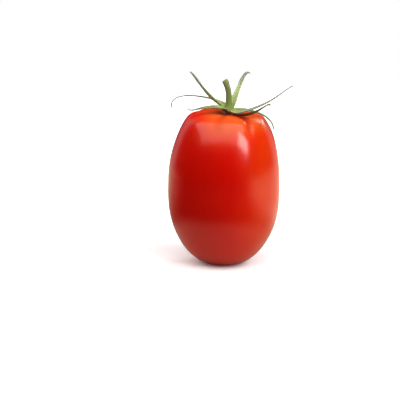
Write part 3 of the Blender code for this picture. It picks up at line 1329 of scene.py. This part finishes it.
let_go()
bpy.ops.mesh.primitive_circle_add(vertices=96, radius=TABLE_RADIUS, fill_type="NGON")
table = name_new("table")
white, tree = new_material("white_table")
place = add_node(tree, "ShaderNodeTexCoord").outputs["Object"]
back_right = add_node(
    tree, "ShaderNodeVectorMath", {0: place, 1: BACK_RIGHT}, operation="DOT_PRODUCT"
).outputs["Value"]
behind = add_node(tree, "ShaderNodeSeparateXYZ", {"Vector": place}).outputs["Y"]
less_behind = add_node(
    tree, "ShaderNodeMath", {0: behind, 1: BEHIND_SHARE}, operation="MULTIPLY"
).outputs["Value"]
past_fruit = add_node(
    tree, "ShaderNodeMath", {0: back_right, 1: less_behind}, operation="MAXIMUM"
).outputs["Value"]
white_behind = add_node(
    tree,
    "ShaderNodeMapRange",
    {"Value": past_fruit, "From Min": 0.0, "From Max": BEHIND_SOFTNESS},
).outputs["Result"]
from_foot = add_node(
    tree, "ShaderNodeVectorMath", {0: place}, operation="LENGTH"
).outputs["Value"]
close_by = add_node(
    tree,
    "ShaderNodeMapRange",
    {
        "Value": from_foot,
        "From Min": CLOSE_TO_FOOT,
        "From Max": OFF_FOOT,
        "To Min": FOOT_SHARE,
        "To Max": 0.0,
    },
    interpolation_type="SMOOTHSTEP",
).outputs["Result"]
brighter = add_node(
    tree, "ShaderNodeMath", {0: white_behind, 1: close_by}, operation="MAXIMUM"
).outputs["Value"]
to_fruit = add_node(
    tree, "ShaderNodeValToRGB", {"Fac": brighter}, stops=DIM_TO_WARM_WHITE
).outputs["Color"]
seen = add_node(tree, "ShaderNodeLightPath").outputs["Is Camera Ray"]
shown = add_node(
    tree,
    "ShaderNodeMix",
    {"Factor": seen, MIX_FIRST: to_fruit, MIX_SECOND: linear(CAMERA_WHITE)},
    data_type="RGBA",
).outputs[MIX_RESULT]
glow = add_node(
    tree,
    "ShaderNodeMapRange",
    {
        "Value": from_foot,
        "From Min": SHADOW_REACH,
        "From Max": GLOW_REACH,
        "To Min": NEAR_GLOW,
        "To Max": FAR_GLOW,
    },
).outputs["Result"]
camera_glow = add_node(
    tree, "ShaderNodeMath", {0: seen, 1: glow}, operation="MULTIPLY"
).outputs["Value"]
shader = add_node(
    tree,
    "ShaderNodeBsdfPrincipled",
    {
        "Base Color": shown,
        "Roughness": 0.8,
        "Specular IOR Level": 0.2,
        "Emission Color": (1, 1, 1, 1),
        "Emission Strength": camera_glow,
    },
)
add_node(tree, "ShaderNodeOutputMaterial", {"Surface": shader.outputs["BSDF"]})
dress(table, white)
print("table", 2 * TABLE_RADIUS, "m across")

# %% [markdown]
# The studio round the table is dark towards the viewer and pale behind the fruit, where
# a lit backdrop would stand. The camera sees plain white instead.

# %% The studio
BACKDROP = (
    (0.0, "040404"),
    (0.72, "161616"),
    (0.86, "E0E0E0"),
    (0.93, "909090"),
    (1.0, "484848"),
)

world = bpy.data.worlds.new("studio")
world.use_nodes = True
bpy.context.scene.world = world
tree = world.node_tree
tree.nodes.clear()
direction = add_node(tree, "ShaderNodeTexCoord").outputs["Generated"]
back = add_node(tree, "ShaderNodeSeparateXYZ", {"Vector": direction}).outputs["Y"]
backwards = add_node(
    tree, "ShaderNodeMapRange", {"Value": back, "From Min": -1.0, "From Max": 1.0}
).outputs["Result"]
studio = add_node(
    tree, "ShaderNodeValToRGB", {"Fac": backwards}, stops=BACKDROP
).outputs["Color"]
seen = add_node(tree, "ShaderNodeLightPath").outputs["Is Camera Ray"]
shown = add_node(
    tree,
    "ShaderNodeMix",
    {"Factor": seen, MIX_FIRST: studio, MIX_SECOND: (1, 1, 1, 1)},
    data_type="RGBA",
).outputs[MIX_RESULT]
background = add_node(tree, "ShaderNodeBackground", {"Color": shown})
add_node(tree, "ShaderNodeOutputWorld", {"Surface": background.outputs["Background"]})
print("studio of", len(BACKDROP), "greys from front to back")

# %% [markdown]
# The photograph's fruit wears two reflections: a wide soft one over its shoulder, from a
# big panel overhead, and a small bright one to the right, from a lamp beside the camera.
# Two more lamps, kept out of the gloss, lift its right side and warm its left, and two
# behind it draw its edges. A lamp is set by its radiance, because that stays the
# brightness of its reflection when the lamp's size is changed.

# %% Lamps
fruit_middle = Vector((0, 0, EQUATOR_HEIGHT))


def add_panel(name, place, aim, size_x, size_y, radiance, along=None, in_gloss=True):
    """A rectangular area lamp of this radiance, its long side along a direction."""
    lamp = bpy.data.lights.new(name, "AREA")
    lamp.shape = "RECTANGLE"
    lamp.size = size_x
    lamp.size_y = size_y
    lamp.energy = radiance * math.pi * size_x * size_y
    panel = bpy.data.objects.new(name, lamp)
    back = (place - aim).normalized()
    up = back.cross(along or Vector((1, 0, 0))).normalized()
    panel.matrix_world = Matrix((up.cross(back), up, back)).transposed().to_4x4()
    panel.location = place
    panel.visible_glossy = in_gloss
    bpy.context.scene.collection.objects.link(panel)
    return panel


def from_fruit(azimuth, elevation, distance):
    """A place seen from the fruit's middle; azimuth 0 is the viewer's side."""
    turn, lift = math.radians(azimuth), math.radians(elevation)
    level = Vector((math.sin(turn), -math.cos(turn), 0)) * math.cos(lift)
    return fruit_middle + distance * (level + Vector((0, 0, math.sin(lift))))


overhead = Vector((-0.15, -0.39, 0.56))
below = overhead - Vector((0, 0, 1))
across = Vector((0.93, -0.36, 0))
add_panel("overhead", overhead, below, size_x=1.5, size_y=0.95, radiance=2.4, along=across)

beside = from_fruit(azimuth=43, elevation=24, distance=0.8)
slant = from_fruit(59, 15, 0.8) - from_fruit(27, 34, 0.8)
add_panel("beside", beside, fruit_middle, size_x=0.33, size_y=0.20, radiance=11.0, along=slant)

right = from_fruit(azimuth=70, elevation=40, distance=0.9)
add_panel("right", right, fruit_middle, size_x=0.5, size_y=0.5, radiance=4.8, in_gloss=False)

left = from_fruit(azimuth=-110, elevation=8, distance=0.9)
warm = add_panel("left", left, fruit_middle, size_x=0.5, size_y=0.8, radiance=1.8, in_gloss=False)
warm.data.color = linear("FFC89C")[:3]

for name, azimuth, radiance in (("behind_right", 142, 4.0), ("behind_left", -142, 0.3)):
    place = from_fruit(azimuth, elevation=28, distance=0.9)
    add_panel(name, place, fruit_middle, size_x=0.45, size_y=0.32, radiance=radiance)
